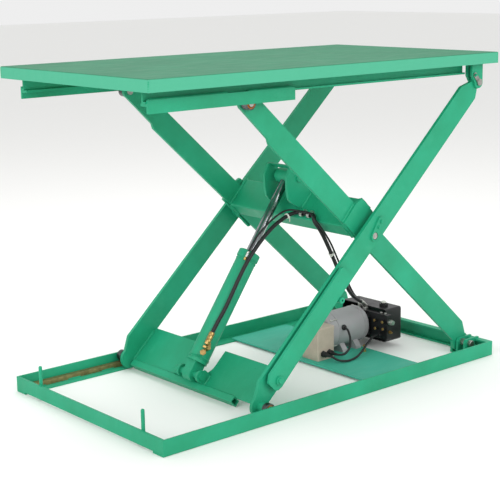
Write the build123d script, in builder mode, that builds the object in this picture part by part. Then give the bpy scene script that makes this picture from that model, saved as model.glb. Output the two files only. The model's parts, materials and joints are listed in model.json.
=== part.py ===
from build123d import *
from math import cos, radians, sin, tan
import os

os.makedirs("parts", exist_ok=True)

# A hydraulic scissor lift table, drawn raised. Millimetres, +Z up, origin on the floor under its
# middle. X runs from the roller end (-X) to the fixed-pivot end (+X), and -Y is the near side.

# --- driving dimensions ---------------------------------------------------------------------
LENGTH = 1500
WIDTH = 800
DECK_TOP = 1092
DECK_SHEET = 6
SKIRT_DEPTH = 38
BASE_HALF_WIDTH = 413
BASE_LEFT = -746
BASE_RIGHT = 743
RAIL_HEIGHT = 52.5
RAIL_LEG = 52
PLATE = 6

PIN_SPAN = 1386          # from pin to pin along one arm
RAISED_ANGLE = 43.1      # degrees of the arms from level
PIVOT_X = 688            # the fixed pivots, low and high
LOWER_PIN_Z = 42
ARM_THICKNESS = 12
OUTER_ARM_IN = 346       # inner face of the outer arms, from the middle
INNER_ARM_IN = 294
PIN_R = 12
PIN_FIT = 0.05
ROLLER_R = 20
ROLLER_GAP = 0.3

BARREL_R = 35
BARREL_WALL = 5
ROD_R = 15
FOOT_PIN = (-672.5, 14.9)   # cylinder foot, along and across the outer arms
ROD_PIN = (-160.6, 79.8)    # rod eye, along and across the inner arms
BARREL_START = 41
BARREL_END = 456
HOSE_R = 6.75
DRAIN_HOSE_R = 3.25

# --- worked out from them -------------------------------------------------------------------
lean = radians(RAISED_ANGLE)
HALF_SPAN = PIN_SPAN / 2
CENTRE_X = PIVOT_X - HALF_SPAN * cos(lean)
CENTRE_Z = LOWER_PIN_Z + HALF_SPAN * sin(lean)
ROLLER_X = PIVOT_X - PIN_SPAN * cos(lean)
UPPER_PIN_Z = LOWER_PIN_Z + PIN_SPAN * sin(lean)
DECK_UNDER = DECK_TOP - DECK_SHEET

# Side frames: x runs along the arm from its upper-left or lower-left end, y across it and up,
# and z points to the near side.
side = Plane.XZ
outer = Plane(origin=(CENTRE_X, 0, CENTRE_Z), x_dir=(cos(lean), 0, sin(lean)), z_dir=(0, -1, 0))
inner = Plane(origin=(CENTRE_X, 0, CENTRE_Z), x_dir=(cos(lean), 0, -sin(lean)), z_dir=(0, -1, 0))

foot_world = outer.from_local_coords(Vector(FOOT_PIN[0], FOOT_PIN[1], 0))
rod_world = inner.from_local_coords(Vector(ROD_PIN[0], ROD_PIN[1], 0))
cylinder_line = rod_world - foot_world
CYLINDER_LENGTH = cylinder_line.length
cylinder_dir = cylinder_line.normalized()
cylinder_side = Plane(origin=foot_world, x_dir=cylinder_dir, z_dir=(0, -1, 0))

SIDES = {"near": -1, "far": 1}


def at(frame, hand, low, high):
    """The plane at the far face of a slab that lies low to high from the middle, on one side."""
    return frame.offset(-max(hand * low, hand * high))


def across(frame, y):
    """The same frame moved so that it lies at width y."""
    return frame.offset(-y)


def finish(part, label):
    """Name a piece and write it."""
    part.label = label
    export_step(part, f"parts/{label}.step")


def cylinder_plane(distance):
    """The plane square to the cylinder's axis, this far from its foot pin."""
    return Plane(origin=foot_world + cylinder_dir * distance, x_dir=(0, 1, 0), z_dir=cylinder_dir)


# --- base -----------------------------------------------------------------------------------
END_BAR = 9
END_BAR_INNER = BASE_LEFT + END_BAR
WEB_X = BASE_RIGHT - PLATE
LEG_IN = BASE_HALF_WIDTH - RAIL_LEG

for name, hand in SIDES.items():
    with BuildPart() as side_rail:
        with BuildSketch(at(side, hand, BASE_HALF_WIDTH - PLATE, BASE_HALF_WIDTH)):
            with Locations(((END_BAR_INNER + BASE_RIGHT) / 2, RAIL_HEIGHT / 2)):
                Rectangle(BASE_RIGHT - END_BAR_INNER, RAIL_HEIGHT)
        extrude(amount=PLATE)
        with BuildSketch(at(side, hand, LEG_IN, BASE_HALF_WIDTH)):
            with Locations(((BASE_LEFT + WEB_X) / 2, PLATE / 2)):
                Rectangle(WEB_X - BASE_LEFT, PLATE)
        extrude(amount=RAIL_LEG)
        corner = side_rail.edges().filter_by(Axis.X).sort_by(
            lambda e: -abs(e.center().Y) + e.center().Z)[0]
        fillet(corner, 2.5)
    finish(side_rail.part, f"side_rail_{name}")

with BuildPart() as end_rail_left:
    with BuildSketch(Plane.XY.offset(PLATE)):
        with Locations(((BASE_LEFT + END_BAR_INNER) / 2, 0)):
            Rectangle(END_BAR, 2 * BASE_HALF_WIDTH)
    extrude(amount=RAIL_HEIGHT - PLATE)
    chamfer(end_rail_left.edges().filter_by(Axis.Y), 0.8)
finish(end_rail_left.part, "end_rail_left")

CHANNEL_DEPTH = 25
ARM_NOTCH = 11
with BuildPart() as end_rail_right:
    with BuildSketch(Plane.YZ.offset(WEB_X)):
        with Locations((0, RAIL_HEIGHT / 2)):
            Rectangle(2 * (BASE_HALF_WIDTH - PLATE), RAIL_HEIGHT)
    extrude(amount=PLATE)
    with BuildSketch(Plane.YZ.offset(BASE_RIGHT - CHANNEL_DEPTH)):
        with Locations((0, PLATE / 2)):
            Rectangle(2 * LEG_IN, PLATE)
        with Locations((0, RAIL_HEIGHT - PLATE / 2)):
            Rectangle(2 * (BASE_HALF_WIDTH - PLATE), PLATE)
    extrude(amount=CHANNEL_DEPTH - PLATE)
    with BuildSketch(Plane.XY):
        for hand in SIDES.values():
            with Locations((BASE_RIGHT - CHANNEL_DEPTH, hand * (INNER_ARM_IN + ARM_THICKNESS / 2))):
                Rectangle(2 * ARM_NOTCH, ARM_THICKNESS + 4)
    extrude(amount=RAIL_HEIGHT, mode=Mode.SUBTRACT)
finish(end_rail_right.part, "end_rail_right")

TRACK_IN = 386
TRACK_OUT = 407
TRACK_TOP = LOWER_PIN_Z - ROLLER_R - ROLLER_GAP
TRACK_LEFT = -735
TRACK_RIGHT = -250
with BuildPart() as roller_tracks:
    for hand in SIDES.values():
        with BuildSketch(Plane.XY.offset(PLATE)):
            with Locations(((TRACK_LEFT + TRACK_RIGHT) / 2, hand * (TRACK_IN + TRACK_OUT) / 2)):
                Rectangle(TRACK_RIGHT - TRACK_LEFT, TRACK_OUT - TRACK_IN)
        extrude(amount=TRACK_TOP - PLATE)
    chamfer(roller_tracks.edges().filter_by(Axis.Y).group_by(Axis.Z)[-1], 3)
finish(roller_tracks.part, "roller_tracks")

BRACKET_LEFT = 664
BRACKET_TOP = 58
FOOT_PLATE = 4
LUGS = ((283, 292), (309, 318), (343, 352))
with BuildPart() as base_brackets:
    for hand in SIDES.values():
        for low, high in LUGS:
            with BuildSketch(at(side, hand, low, high)):
                with BuildLine():
                    Polyline((BRACKET_LEFT, 0), (BASE_RIGHT - CHANNEL_DEPTH, 0),
                             (BASE_RIGHT - CHANNEL_DEPTH, RAIL_HEIGHT),
                             (BASE_RIGHT - 3, RAIL_HEIGHT), (BASE_RIGHT - 3, BRACKET_TOP),
                             (BRACKET_LEFT + 10, BRACKET_TOP), (BRACKET_LEFT, BRACKET_TOP - 10),
                             close=True)
                make_face()
                with Locations((PIVOT_X, LOWER_PIN_Z)):
                    Circle(PIN_R, mode=Mode.SUBTRACT)
            extrude(amount=high - low)
        with BuildSketch(Plane.XY):
            with Locations(((BRACKET_LEFT + BASE_RIGHT - CHANNEL_DEPTH) / 2,
                            hand * (LUGS[0][0] + LEG_IN) / 2)):
                Rectangle(BASE_RIGHT - CHANNEL_DEPTH - BRACKET_LEFT, LEG_IN - LUGS[0][0])
        extrude(amount=FOOT_PLATE)
finish(base_brackets.part, "base_brackets")

LOWER_PIN_END = 366
KEEPER = 4
with BuildPart() as lower_hinge_pins:
    for hand in SIDES.values():
        with BuildSketch(at(side, hand, LUGS[0][0] - 2, LOWER_PIN_END)):
            with Locations((PIVOT_X, LOWER_PIN_Z)):
                Circle(PIN_R)
        extrude(amount=LOWER_PIN_END - LUGS[0][0] + 2)
        with BuildSketch(at(side, hand, LUGS[2][1], LUGS[2][1] + KEEPER)):
            with Locations((PIVOT_X + 12, LOWER_PIN_Z - 8)):
                SlotOverall(52, 18, rotation=-35)
        extrude(amount=KEEPER)
    chamfer(lower_hinge_pins.edges().filter_by(GeomType.CIRCLE).group_by(Axis.Y)[0], 1.5)
finish(lower_hinge_pins.part, "lower_hinge_pins")

POST_R = 6
POST_TOP = 115
POST_X = END_BAR_INNER + POST_R
with BuildPart() as rest_posts:
    for post_y in (-295, 280):
        with BuildSketch(Plane.XY):
            with Locations((POST_X, post_y)):
                Circle(POST_R)
        extrude(amount=POST_TOP)
    chamfer(rest_posts.edges().filter_by(GeomType.CIRCLE).group_by(Axis.Z)[-1], 3, 2)
finish(rest_posts.part, "rest_posts")

UNIT_PLATE_LEFT = 170
UNIT_PLATE_RIGHT = 447
UNIT_PLATE_HALF = 378
UNIT_FLOOR = 2 * PLATE
with BuildPart() as power_unit_plate:
    with BuildSketch(Plane.XY.offset(PLATE)):
        with Locations(((UNIT_PLATE_LEFT + UNIT_PLATE_RIGHT) / 2, 0)):
            Rectangle(UNIT_PLATE_RIGHT - UNIT_PLATE_LEFT, 2 * UNIT_PLATE_HALF)
    extrude(amount=PLATE)
finish(power_unit_plate.part, "power_unit_plate")

# --- power unit -----------------------------------------------------------------------------
MOTOR_Y = 15
MOTOR_Z = 88
MOTOR_R = 66
MOTOR_LEFT = 285
MOTOR_RIGHT = 490
FAN_END = 322
SHAFT_R = 9
motor_end = Plane(origin=(FAN_END, MOTOR_Y, MOTOR_Z), x_dir=(0, 1, 0), z_dir=(1, 0, 0))

MOTOR_SHOULDER = 14
MOTOR_BORE = 54
with BuildPart() as motor_body:
    with BuildSketch(motor_end):
        Circle(MOTOR_R)
    extrude(amount=MOTOR_RIGHT - 6 - FAN_END)
    fillet(motor_body.edges().filter_by(GeomType.CIRCLE).group_by(Axis.X)[-1], MOTOR_SHOULDER)
    with BuildSketch(motor_end.offset(MOTOR_RIGHT - 6 - FAN_END)):
        Circle(MOTOR_R - MOTOR_SHOULDER - 2)
    extrude(amount=6)
    for foot_x in (352, 421):
        with BuildSketch(Plane.YZ.offset(foot_x - 12)):
            with BuildLine():
                Polyline((MOTOR_Y - 66, UNIT_FLOOR), (MOTOR_Y + 66, UNIT_FLOOR),
                         (MOTOR_Y + 66, UNIT_FLOOR + 9), (MOTOR_Y + 42, MOTOR_Z - 40),
                         (MOTOR_Y - 42, MOTOR_Z - 40), (MOTOR_Y - 66, UNIT_FLOOR + 9), close=True)
            make_face()
        extrude(amount=24)
    with BuildSketch(motor_end):
        Circle(SHAFT_R + 0.3)
    extrude(amount=MOTOR_RIGHT - FAN_END, mode=Mode.SUBTRACT)
    with BuildSketch(motor_end.offset(18)):
        Circle(MOTOR_BORE)
    extrude(amount=MOTOR_RIGHT - 58 - FAN_END, mode=Mode.SUBTRACT)
finish(motor_body.part, "motor_body")

with BuildPart() as motor_fan_cover:
    with BuildSketch(motor_end.offset(MOTOR_LEFT - FAN_END)):
        Circle(MOTOR_R + 2)
    extrude(amount=FAN_END - MOTOR_LEFT)
    fillet(motor_fan_cover.edges().filter_by(GeomType.CIRCLE).group_by(Axis.X)[0], 10)
    with BuildSketch(motor_end.offset(MOTOR_LEFT - FAN_END + 3)):
        Circle(MOTOR_R - 6)
    extrude(amount=FAN_END - MOTOR_LEFT - 3, mode=Mode.SUBTRACT)
    with BuildSketch(motor_end.offset(MOTOR_LEFT - FAN_END)):
        for ring_radius, hole_count in ((16, 6), (28, 12), (40, 18)):
            with PolarLocations(ring_radius, hole_count):
                Circle(4)
    extrude(amount=6, mode=Mode.SUBTRACT)
finish(motor_fan_cover.part, "motor_fan_cover")

PUMP_LEFT = 490
PUMP_RIGHT = 515
with BuildPart() as motor_shaft:
    with BuildSketch(motor_end.offset(MOTOR_LEFT + 10 - FAN_END)):
        Circle(SHAFT_R)
    extrude(amount=PUMP_LEFT + 12 - MOTOR_LEFT - 10)
    with BuildSketch(motor_end.offset(26)):
        Circle(MOTOR_BORE - 12)
    extrude(amount=80)
    with BuildSketch(motor_end.offset(MOTOR_LEFT + 12 - FAN_END)):
        Circle(14)
        with PolarLocations(30, 7):
            Rectangle(38, 3, rotation=20)
    extrude(amount=14)
finish(motor_shaft.part, "motor_shaft")

BOX_LEFT = 197
BOX_RIGHT = 279
BOX_NEAR = -69
BOX_FAR = 13
BOX_TOP = 131
BOX_LID = 16
BOX_WALL = 4
BOX_SIZE = BOX_RIGHT - BOX_LEFT
BOX_MIDDLE = ((BOX_LEFT + BOX_RIGHT) / 2, (BOX_NEAR + BOX_FAR) / 2)
GLAND_Z = 36
GLANDS_X = (222, 252)
with BuildPart() as terminal_box:
    with BuildSketch(Plane.XY.offset(UNIT_FLOOR)):
        with Locations(BOX_MIDDLE):
            RectangleRounded(BOX_SIZE, BOX_SIZE, 5)
    extrude(amount=BOX_TOP - BOX_LID - UNIT_FLOOR)
    with BuildSketch(Plane.XY.offset(UNIT_FLOOR + BOX_WALL)):
        with Locations(BOX_MIDDLE):
            RectangleRounded(BOX_SIZE - 2 * BOX_WALL, BOX_SIZE - 2 * BOX_WALL, 2)
    extrude(amount=BOX_TOP - BOX_LID - UNIT_FLOOR - BOX_WALL, mode=Mode.SUBTRACT)
    with BuildSketch(across(side, BOX_NEAR + BOX_WALL)):
        for gland_x in GLANDS_X:
            with Locations((gland_x, GLAND_Z)):
                Circle(6.5)
    extrude(amount=BOX_WALL, mode=Mode.SUBTRACT)
finish(terminal_box.part, "terminal_box")

with BuildPart() as terminal_box_lid:
    with BuildSketch(Plane.XY.offset(BOX_TOP - BOX_LID)):
        with Locations(BOX_MIDDLE):
            RectangleRounded(BOX_SIZE + 3, BOX_SIZE + 3, 6)
    extrude(amount=BOX_LID)
    fillet(terminal_box_lid.edges().group_by(Axis.Z)[-1], 3)
    with BuildSketch(Plane.XY.offset(BOX_TOP - BOX_LID)):
        with Locations(BOX_MIDDLE):
            RectangleRounded(BOX_SIZE - 10, BOX_SIZE - 10, 2)
    extrude(amount=BOX_LID - 4, mode=Mode.SUBTRACT)
    with BuildSketch(Plane.XY.offset(BOX_TOP)):
        with Locations(BOX_MIDDLE):
            with GridLocations(BOX_SIZE - 14, BOX_SIZE - 14, 2, 2):
                Circle(3.5)
    extrude(amount=-2, mode=Mode.SUBTRACT)
finish(terminal_box_lid.part, "terminal_box_lid")

CABLE_R = 4
GLAND_LENGTH = 22
with BuildPart() as cable_glands:
    for gland_x in GLANDS_X:
        with BuildSketch(across(side, BOX_NEAR + BOX_WALL)):
            with Locations((gland_x, GLAND_Z)):
                Circle(6.5)
        extrude(amount=BOX_WALL)
        with BuildSketch(across(side, BOX_NEAR)):
            with Locations((gland_x, GLAND_Z)):
                RegularPolygon(10, 6)
        extrude(amount=8)
        with BuildSketch(across(side, BOX_NEAR - 8)):
            with Locations((gland_x, GLAND_Z)):
                Circle(8.5)
        extrude(amount=GLAND_LENGTH - 8, taper=8)
finish(cable_glands.part, "cable_glands")


def tangent_radii(points):
    """A bend radius for each inner corner: 0.45 of the shorter run over the half turn's tangent."""
    radii = []
    for before, corner, after in zip(points, points[1:], points[2:]):
        into = Vector(*corner) - Vector(*before)
        out = Vector(*after) - Vector(*corner)
        half_turn = radians(into.get_angle(out)) / 2
        radii.append(0.45 * min(into.length, out.length) / tan(half_turn))
    return radii


def tube(points, radius, label):
    """A round tube along straight runs joined by tangent arcs."""
    radii = tangent_radii(points)
    start = Vector(*points[0])
    heading = Vector(*points[1]) - start
    with BuildPart() as hose:
        with BuildLine() as path:
            FilletPolyline(*points, radius=radii)
        with BuildSketch(Plane(origin=start, z_dir=heading)):
            Circle(radius)
        sweep(path=path.line)
    length = sum(edge.length for edge in path.edges())
    print(f"{label}: {length:.0f} mm long, volume ratio "
          f"{hose.part.volume / (3.14159265 * radius ** 2 * length):.4f}, radii",
          [round(r) for r in radii])
    return hose.part


GLAND_END = BOX_NEAR - GLAND_LENGTH
motor_lead = tube([(252, GLAND_END, 36), (252, -112, 36), (270, -130, 37), (304, -124, 52),
                   (326, -104, 82), (342, -74, 104), (345, -54.5, 106)], CABLE_R, "motor_lead")
valve_lead = tube([(222, GLAND_END, 36), (222, -112, 36), (236, -136, 22), (270, -148, 17),
                   (318, -142, 18), (364, -124, 27), (412, -104, 44), (456, -90, 60),
                   (PUMP_LEFT, -90, 60)], CABLE_R, "valve_lead")
motor_cables = Compound(children=[motor_lead, valve_lead])
finish(motor_cables, "motor_cables")

PUMP_NEAR = -128
PUMP_FAR = 80
PUMP_BOTTOM = 44
PUMP_TOP = 138
pump_face = Plane(origin=(PUMP_LEFT, 0, 0), x_dir=(0, -1, 0), z_dir=(-1, 0, 0))
PLUG_R = 7
PLUG_SPOTS = ((-72, 112), (-112, 112), (-76, 82), (-114, 86))
with BuildPart() as pump_block:
    with BuildSketch(Plane.YZ.offset(PUMP_LEFT)):
        with Locations(((PUMP_NEAR + PUMP_FAR) / 2, (PUMP_BOTTOM + PUMP_TOP) / 2)):
            RectangleRounded(PUMP_FAR - PUMP_NEAR, PUMP_TOP - PUMP_BOTTOM, 5)
    extrude(amount=PUMP_RIGHT - PUMP_LEFT)
    with BuildSketch(Plane(origin=(PUMP_LEFT, MOTOR_Y, MOTOR_Z), x_dir=(0, 1, 0), z_dir=(1, 0, 0))):
        Circle(SHAFT_R + 0.3)
    extrude(amount=PUMP_RIGHT - PUMP_LEFT, mode=Mode.SUBTRACT)
finish(pump_block.part, "pump_block")

with BuildPart() as port_plugs:
    for plug_y, plug_z in PLUG_SPOTS:
        with BuildSketch(pump_face):
            with Locations((-plug_y, plug_z)):
                Circle(PLUG_R + 1.5)
        extrude(amount=2)
        with BuildSketch(pump_face.offset(2)):
            with Locations((-plug_y, plug_z)):
                RegularPolygon(PLUG_R, 6)
        extrude(amount=7)
finish(port_plugs.part, "port_plugs")

TANK_RIGHT = 600
TANK_NEAR = -98
TANK_FAR = 128
TANK_BOTTOM = 25
TANK_TOP = 150
TANK_WALL = 3
FILLER = (552, -52)
TANK_MIDDLE_Y = (TANK_NEAR + TANK_FAR) / 2
TANK_MIDDLE_Z = (TANK_BOTTOM + TANK_TOP) / 2
with BuildPart() as oil_tank:
    with BuildSketch(Plane.YZ.offset(PUMP_RIGHT)):
        with Locations((TANK_MIDDLE_Y, TANK_MIDDLE_Z)):
            RectangleRounded(TANK_FAR - TANK_NEAR, TANK_TOP - TANK_BOTTOM, 8)
    extrude(amount=TANK_RIGHT - PUMP_RIGHT)
    fillet(oil_tank.edges().group_by(Axis.X)[-1], 6)
    with BuildSketch(Plane.YZ.offset(PUMP_RIGHT)):
        with Locations((TANK_MIDDLE_Y, TANK_MIDDLE_Z)):
            RectangleRounded(TANK_FAR - TANK_NEAR - 2 * TANK_WALL,
                             TANK_TOP - TANK_BOTTOM - 2 * TANK_WALL, 5)
    extrude(amount=TANK_RIGHT - PUMP_RIGHT - TANK_WALL, mode=Mode.SUBTRACT)
    with BuildSketch(Plane.XY.offset(TANK_TOP - TANK_WALL)):
        with Locations(FILLER):
            Circle(10)
    extrude(amount=TANK_WALL, mode=Mode.SUBTRACT)
finish(oil_tank.part, "oil_tank")

with BuildPart() as filler_cap:
    with BuildSketch(Plane.XY.offset(TANK_TOP)):
        with Locations(FILLER):
            Circle(16)
            with PolarLocations(16, 12):
                Circle(1.6, mode=Mode.SUBTRACT)
    extrude(amount=10)
    with BuildSketch(Plane.XY.offset(TANK_TOP + 10)):
        with Locations(FILLER):
            Circle(10)
    extrude(amount=3)
    with BuildSketch(Plane.XY.offset(TANK_TOP - 12)):
        with Locations(FILLER):
            Circle(10)
    extrude(amount=12)
finish(filler_cap.part, "filler_cap")

with BuildPart() as gear_pump:
    with BuildSketch(Plane.YZ.offset(PUMP_RIGHT)):
        with Locations((MOTOR_Y, MOTOR_Z - 8)):
            RectangleRounded(44, 62, 8)
    extrude(amount=40)
    with BuildSketch(Plane.YZ.offset(PUMP_RIGHT + 40)):
        with Locations((MOTOR_Y, MOTOR_Z - 26)):
            Circle(16)
    extrude(amount=30)
finish(gear_pump.part, "gear_pump")

ELBOW_R = 8
ELBOW_SPOT = (502, -6)
ELBOW_Z = 152
NOSE_LENGTH = 28
DRAIN_SPOT = (502, 26)
DRAIN_TOP = PUMP_TOP + 14
nose = Vector(-0.80, -0.36, 0.48).normalized()
elbow_turn = Vector(*ELBOW_SPOT, ELBOW_Z)
elbow_out = elbow_turn + nose * NOSE_LENGTH
with BuildPart() as hose_fittings:
    with BuildSketch(Plane.XY.offset(PUMP_TOP)):
        with Locations(ELBOW_SPOT):
            RegularPolygon(11, 6)
    extrude(amount=8)
    with BuildSketch(Plane.XY.offset(PUMP_TOP + 8)):
        with Locations(ELBOW_SPOT):
            Circle(ELBOW_R)
    extrude(amount=ELBOW_Z - PUMP_TOP - 8)
    with Locations(elbow_turn):
        Sphere(ELBOW_R)
    with BuildSketch(Plane(origin=elbow_turn, z_dir=nose)):
        Circle(ELBOW_R)
    extrude(amount=NOSE_LENGTH)
    with BuildSketch(Plane.XY.offset(PUMP_TOP)):
        with Locations(DRAIN_SPOT):
            RegularPolygon(7, 6)
    extrude(amount=6)
    with BuildSketch(Plane.XY.offset(PUMP_TOP + 6)):
        with Locations(DRAIN_SPOT):
            Circle(5)
    extrude(amount=DRAIN_TOP - PUMP_TOP - 6)
finish(hose_fittings.part, "hose_fittings")

# --- arms -----------------------------------------------------------------------------------
PIN_END_R = 24
AXLE_END_R = 36
OUTER_OUTLINE = [(-725, 15), (-640, 62), (627, 46), (676, 20.5), (676, -20.5), (650, -37),
                 (-662, -19), (-700, -30)]
INNER_OUTLINE = [(-705, 20.5), (-655, 43.5), (653, 61), (721, 24), (700, -30), (662, -18),
                 (-531, -34), (-547, -25), (-690, -23.5)]


def arm_sketch(outline, big_end):
    """The face of one arm: its outline, both rounded ends and its three pin holes."""
    with BuildSketch(Plane.XY, mode=Mode.PRIVATE) as face:
        with BuildLine():
            Polyline(*outline, close=True)
        make_face()
        with Locations((big_end * HALF_SPAN, 0)):
            Circle(AXLE_END_R)
        with Locations((-big_end * HALF_SPAN, 0)):
            Circle(PIN_END_R)
        with Locations((-HALF_SPAN, 0), (0, 0), (HALF_SPAN, 0)):
            Circle(PIN_R + PIN_FIT, mode=Mode.SUBTRACT)
    return face.sketch


outer_face = arm_sketch(OUTER_OUTLINE, -1)
inner_face = arm_sketch(INNER_OUTLINE, 1)

for name, hand in SIDES.items():
    with BuildPart() as outer_arm:
        with BuildSketch(at(outer, hand, OUTER_ARM_IN, OUTER_ARM_IN + ARM_THICKNESS)):
            add(outer_face)
        extrude(amount=ARM_THICKNESS)
    finish(outer_arm.part, f"outer_arm_{name}")

    with BuildPart() as inner_arm:
        with BuildSketch(at(inner, hand, INNER_ARM_IN, INNER_ARM_IN + ARM_THICKNESS)):
            add(inner_face)
        extrude(amount=ARM_THICKNESS)
    finish(inner_arm.part, f"inner_arm_{name}")

HUB_IN = INNER_ARM_IN + ARM_THICKNESS
HUB_OUT = HUB_IN + ARM_THICKNESS
BOSS_R = 30
with BuildPart() as hub_plates:
    for hand in SIDES.values():
        with BuildSketch(at(inner, hand, HUB_IN, HUB_OUT)):
            with BuildLine():
                Polyline((-107, -30), (60, -33), (72, 10), (60, 70), (-60, 78), (-96, 76),
                         (-107, 48), close=True)
            make_face()
            Circle(PIN_R + PIN_FIT, mode=Mode.SUBTRACT)
        extrude(amount=HUB_OUT - HUB_IN)
        with BuildSketch(at(inner, hand, HUB_OUT, OUTER_ARM_IN - 1)):
            Circle(BOSS_R)
            Circle(PIN_R + PIN_FIT, mode=Mode.SUBTRACT)
        extrude(amount=OUTER_ARM_IN - 1 - HUB_OUT)
finish(hub_plates.part, "hub_plates")

TORQUE_LEFT = -80
TORQUE_RIGHT = -16
TORQUE_LOW = -30
TORQUE_HIGH = 86
with BuildPart() as torque_channel:
    with BuildSketch(across(inner, INNER_ARM_IN)):
        with Locations(((TORQUE_LEFT + TORQUE_RIGHT) / 2, (TORQUE_LOW + TORQUE_HIGH) / 2)):
            RectangleRounded(TORQUE_RIGHT - TORQUE_LEFT, TORQUE_HIGH - TORQUE_LOW, 5)
        with Locations(((TORQUE_LEFT + TORQUE_RIGHT) / 2 + PLATE, (TORQUE_LOW + TORQUE_HIGH) / 2)):
            Rectangle(TORQUE_RIGHT - TORQUE_LEFT, TORQUE_HIGH - TORQUE_LOW - 2 * PLATE,
                      mode=Mode.SUBTRACT)
    extrude(amount=2 * INNER_ARM_IN)
finish(torque_channel.part, "torque_channel")

EAR_IN = 52
EAR_OUT = 62
with BuildPart() as rod_ears:
    for hand in SIDES.values():
        with BuildSketch(at(inner, hand, EAR_IN, EAR_OUT)):
            with BuildLine():
                Polyline((TORQUE_LEFT, 6), (-132, -6), (-150, -4), (-176, 14), (-208, 48),
                         (-218, 83), (-212, 94), (-192, 98), (-150, 102), (TORQUE_LEFT, 77),
                         close=True)
            make_face()
            with Locations(ROD_PIN):
                Circle(ROD_R, mode=Mode.SUBTRACT)
        extrude(amount=EAR_OUT - EAR_IN)
    with BuildSketch(at(inner, 1, -EAR_IN, EAR_IN)):
        with BuildLine():
            Polyline((-217, 87), (-212, 94), (-192, 98), (-190, 91.5), (-208, 88), close=True)
        make_face()
    extrude(amount=2 * EAR_IN)
finish(rod_ears.part, "rod_ears")

EYE_HALF = 38
with BuildPart() as rod_pin_ends:
    for hand in SIDES.values():
        with BuildSketch(at(inner, hand, EYE_HALF + 2, EAR_OUT + 6)):
            with Locations(ROD_PIN):
                Circle(ROD_R)
        extrude(amount=EAR_OUT + 4 - EYE_HALF)
finish(rod_pin_ends.part, "rod_pin_ends")

UPPER_ROLLER_IN = 308.5
UPPER_ROLLER_OUT = 333.5
with BuildPart() as upper_axles:
    for hand in SIDES.values():
        with BuildSketch(at(inner, hand, INNER_ARM_IN - 3, UPPER_ROLLER_OUT + 0.5)):
            with Locations((-HALF_SPAN, 0)):
                Circle(PIN_R)
        extrude(amount=UPPER_ROLLER_OUT + 0.5 - INNER_ARM_IN + 3)
finish(upper_axles.part, "upper_axles")

CLIP_LEFT = TORQUE_LEFT - 2
CLIP_Y = (-90, -126)
CLIP_N = -18
HOSE_U = TORQUE_LEFT - HOSE_R - 3
with BuildPart() as hose_clips:
    for clip_y in CLIP_Y:
        with BuildSketch(across(inner, clip_y + 6)):
            with Locations((HOSE_U, CLIP_N)):
                Circle(HOSE_R + 2.2)
            with Locations(((HOSE_U + TORQUE_LEFT) / 2, CLIP_N + HOSE_R + 5)):
                Rectangle(TORQUE_LEFT - HOSE_U, 18)
            with Locations((HOSE_U, CLIP_N)):
                Circle(HOSE_R + 0.3, mode=Mode.SUBTRACT)
        extrude(amount=12)
finish(hose_clips.part, "hose_clips")

# --- what the outer arms carry --------------------------------------------------------------
CROSS_LOW = -20
CROSS_END = -690
CROSS_START = -548
SLOT_HALF = 46
SLOT_END = -655
outer_deck = Plane(origin=outer.from_local_coords(Vector(0, CROSS_LOW, 0)), x_dir=outer.x_dir,
                   z_dir=outer.y_dir)
LIP_LEFT = -712
LIP_TOP = -6
LIP_BOTTOM = -35
LIP_WALL = 3
LIP_NEAR = -222
LIP_FAR = 335
with BuildPart() as cross_plate:
    with BuildSketch(outer_deck):
        with Locations(((CROSS_START + CROSS_END) / 2, 0)):
            Rectangle(CROSS_START - CROSS_END, 2 * OUTER_ARM_IN)
        with Locations((SLOT_END + SLOT_HALF, 0)):
            Circle(SLOT_HALF, mode=Mode.SUBTRACT)
        with Locations(((SLOT_END + SLOT_HALF + CROSS_START) / 2, 0)):
            Rectangle(CROSS_START - SLOT_END - SLOT_HALF, 2 * SLOT_HALF, mode=Mode.SUBTRACT)
    extrude(amount=PLATE)
    with BuildSketch(across(outer, LIP_FAR)):
        with Locations(((LIP_LEFT + CROSS_END) / 2, (LIP_TOP + LIP_BOTTOM) / 2)):
            Rectangle(CROSS_END - LIP_LEFT, LIP_TOP - LIP_BOTTOM)
            Rectangle(CROSS_END - LIP_LEFT - 2 * LIP_WALL, LIP_TOP - LIP_BOTTOM - 2 * LIP_WALL,
                      mode=Mode.SUBTRACT)
    extrude(amount=LIP_FAR - LIP_NEAR)
finish(cross_plate.part, "cross_plate")

CLEVIS_IN = 46
CLEVIS_OUT = 56
CLEVIS_R = 21
with BuildPart() as cylinder_clevis:
    for hand in SIDES.values():
        with BuildSketch(at(outer, hand, CLEVIS_IN, CLEVIS_OUT)):
            with Locations(FOOT_PIN):
                Circle(CLEVIS_R)
            with Locations((FOOT_PIN[0] + 4, (FOOT_PIN[1] + CROSS_LOW + PLATE) / 2)):
                Rectangle(2 * CLEVIS_R, FOOT_PIN[1] - CROSS_LOW - PLATE)
            with Locations(FOOT_PIN):
                Circle(PIN_R, mode=Mode.SUBTRACT)
        extrude(amount=CLEVIS_OUT - CLEVIS_IN)
finish(cylinder_clevis.part, "cylinder_clevis")

KEEPER_BLOCK = (24, 38, 14)
with BuildPart() as cylinder_pin:
    with BuildSketch(across(outer, CLEVIS_OUT + 24)):
        with Locations(FOOT_PIN):
            Circle(PIN_R)
    extrude(amount=2 * CLEVIS_OUT + 30)
    with BuildSketch(across(outer, CLEVIS_OUT + 8 + KEEPER_BLOCK[1])):
        with Locations((FOOT_PIN[0] - 2, CROSS_LOW + PLATE + KEEPER_BLOCK[2] / 2)):
            Rectangle(KEEPER_BLOCK[0], KEEPER_BLOCK[2])
    extrude(amount=KEEPER_BLOCK[1])
finish(cylinder_pin.part, "cylinder_pin")

KEEPER_FACE = OUTER_ARM_IN + ARM_THICKNESS
with BuildPart() as centre_pins:
    for hand in SIDES.values():
        with BuildSketch(at(outer, hand, INNER_ARM_IN, KEEPER_FACE + 2)):
            Circle(PIN_R)
        extrude(amount=KEEPER_FACE + 2 - INNER_ARM_IN)
finish(centre_pins.part, "centre_pins")

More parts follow.
